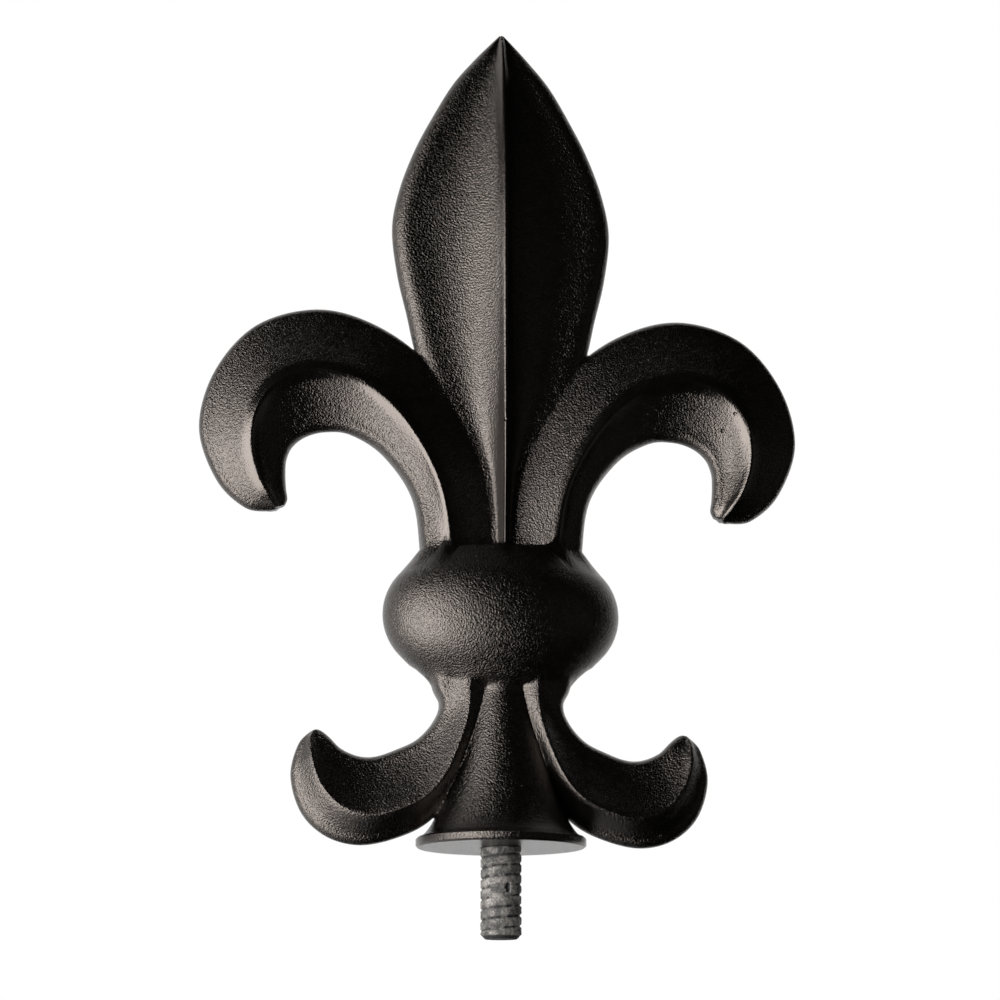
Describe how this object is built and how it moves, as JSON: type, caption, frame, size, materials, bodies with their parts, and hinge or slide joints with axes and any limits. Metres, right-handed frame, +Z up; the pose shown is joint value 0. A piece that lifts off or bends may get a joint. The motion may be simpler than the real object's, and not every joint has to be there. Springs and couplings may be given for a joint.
{
  "type": "fleur-de-lis post cap",
  "caption": "Cast fleur-de-lis finial with a banded waist, round flange and threaded stud, for the top of a gate or fence post.",
  "frame": {"origin": "centre of the flange's flat underside, on the stud's axis, where the cap sits on its post", "axes": "+Z up through the petal's tip, X across the leaves, and the pictured front faces -Y"},
  "size_m": [0.0942, 0.0258, 0.1452],
  "materials": {
    "black_coat": "semi-gloss black powder coat with a fine grain",
    "stud_steel": "bare plated steel, worn grey"
  },
  "bodies": {
    "root": {"fleur_de_lis_casting": "black_coat", "threaded_stud": "stud_steel"}
  },
  "joints": []
}
